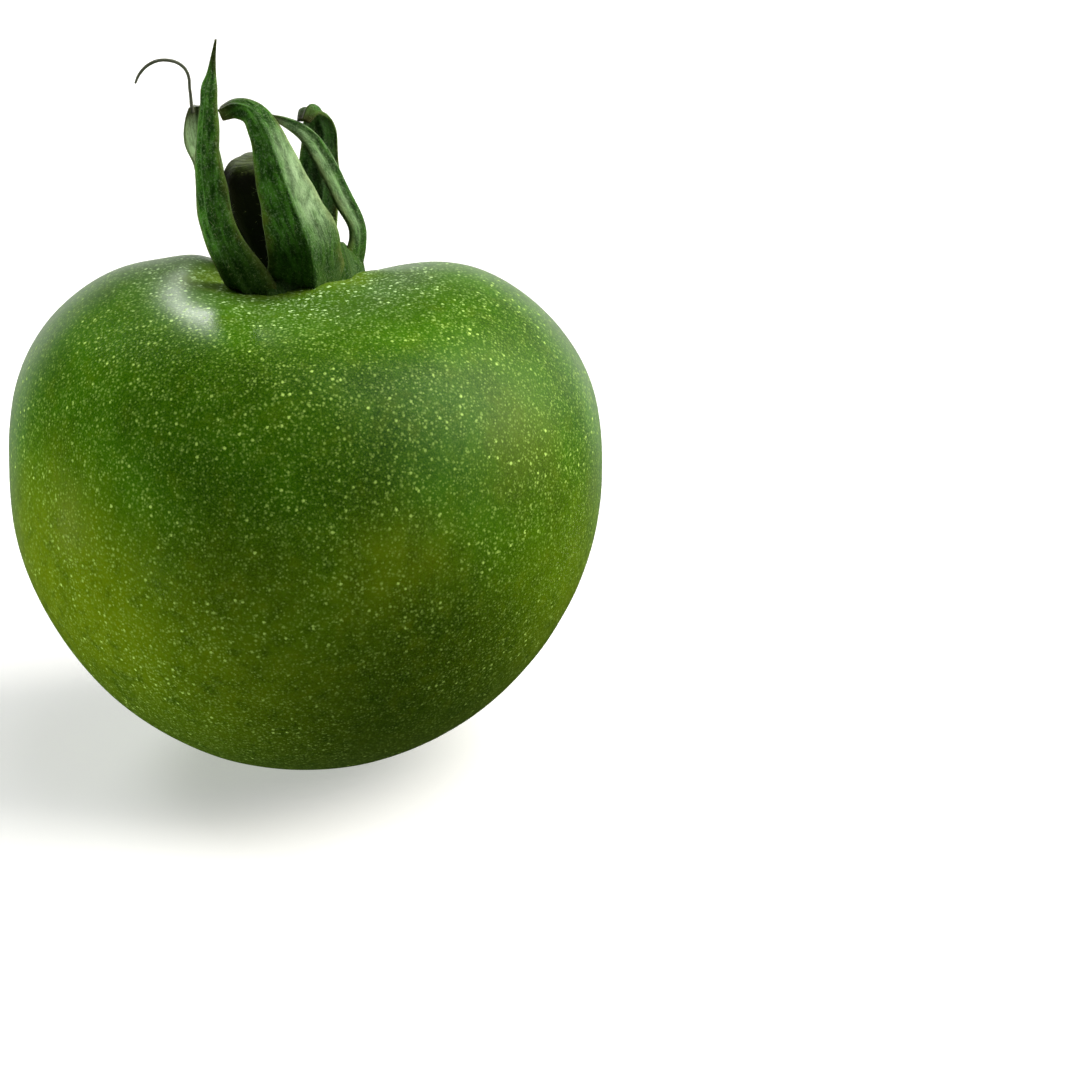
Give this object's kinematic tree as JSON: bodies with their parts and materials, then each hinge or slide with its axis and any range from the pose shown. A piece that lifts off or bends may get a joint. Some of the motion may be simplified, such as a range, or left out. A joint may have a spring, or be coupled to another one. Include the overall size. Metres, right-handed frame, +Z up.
{
  "type": "whole green tomato with calyx and stalk stub",
  "caption": "Round, slightly flat-shouldered green-when-ripe tomato with a dried, curled calyx and a short stalk stub, resting on its base.",
  "frame": {"origin": "middle of the small flat spot that the fruit rests on", "axes": "+Z up, +X to the fruit's right, -Y towards its front; the stalk end leans 8 degrees back, towards +Y"},
  "size_m": [0.0454, 0.0455, 0.0565],
  "materials": {
    "skin": "waxy, glossy fruit skin, green with fine pale flecks",
    "sepal": "matte, hairy, drying green leaf",
    "stalk": "matte, corky green stalk"
  },
  "bodies": {
    "root": {"fruit": "skin", "calyx": "sepal", "stalk": "stalk"}
  },
  "joints": []
}
